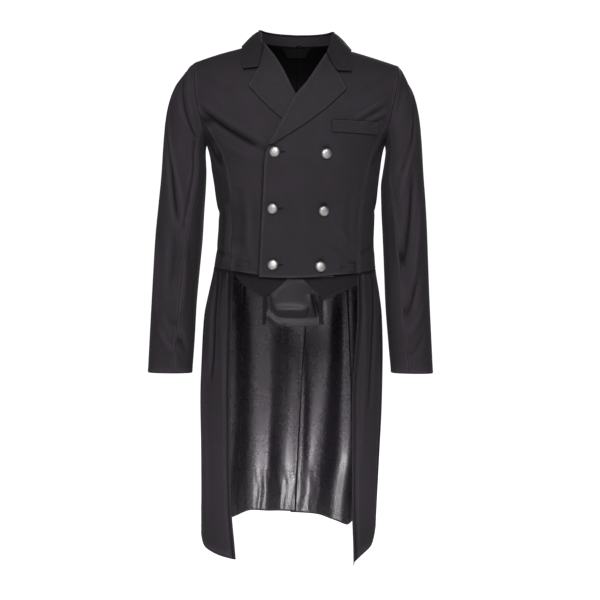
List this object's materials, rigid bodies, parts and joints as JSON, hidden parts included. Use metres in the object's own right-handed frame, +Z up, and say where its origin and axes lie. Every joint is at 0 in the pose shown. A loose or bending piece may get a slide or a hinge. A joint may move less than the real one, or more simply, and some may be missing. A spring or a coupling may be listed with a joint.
{
  "type": "dressage tailcoat",
  "caption": "Double-breasted dressage tailcoat with notched lapels, short points and satin tab below the front waist, and long lined tails, in its worn shape.",
  "frame": {"origin": "on the centre line, level with the neck sides of the shoulder seams, where the wearer's shoulders carry the coat", "axes": "+Z up, -Y towards the front of the coat, +X towards the wearer's left"},
  "size_m": [0.5916, 0.2707, 1.1134],
  "materials": {
    "outer_cloth": "matt dark charcoal softshell",
    "collar_cloth": "matt dark charcoal softshell",
    "leatherette": "glossy grained black leatherette",
    "satin": "dark satin",
    "neck_lining": "smooth dark lining",
    "elastic": "gathered dark elastic",
    "label_cloth": "plain woven label",
    "button_metal": "brushed silver"
  },
  "bodies": {
    "root": {"front_left": "outer_cloth", "front_right": "outer_cloth", "side_body_left": "outer_cloth", "side_body_right": "outer_cloth", "back_left": "outer_cloth", "back_right": "outer_cloth", "tail_side_left": "outer_cloth", "tail_side_right": "outer_cloth", "tail_lining_back_left": "leatherette", "tail_lining_back_right": "leatherette", "tail_lining_side_left": "leatherette", "tail_lining_side_right": "leatherette", "neck_lining_left": "neck_lining", "neck_lining_right": "neck_lining", "lapel_left": "collar_cloth", "lapel_right": "collar_cloth", "collar": "collar_cloth", "collar_stand": "collar_cloth", "neck_label": "label_cloth", "hanger_loop": "label_cloth", "top_sleeve_left": "outer_cloth", "top_sleeve_right": "outer_cloth", "under_sleeve_left": "outer_cloth", "under_sleeve_right": "outer_cloth", "breast_welt": "outer_cloth", "waistcoat_point_left": "outer_cloth", "waistcoat_point_right": "outer_cloth", "waist_tab": "satin", "tab_elastic_left": "elastic", "tab_elastic_right": "elastic", "button_top_outer": "button_metal", "button_top_inner": "button_metal", "button_middle_outer": "button_metal", "button_middle_inner": "button_metal", "button_bottom_outer": "button_metal", "button_bottom_inner": "button_metal"}
  },
  "joints": []
}
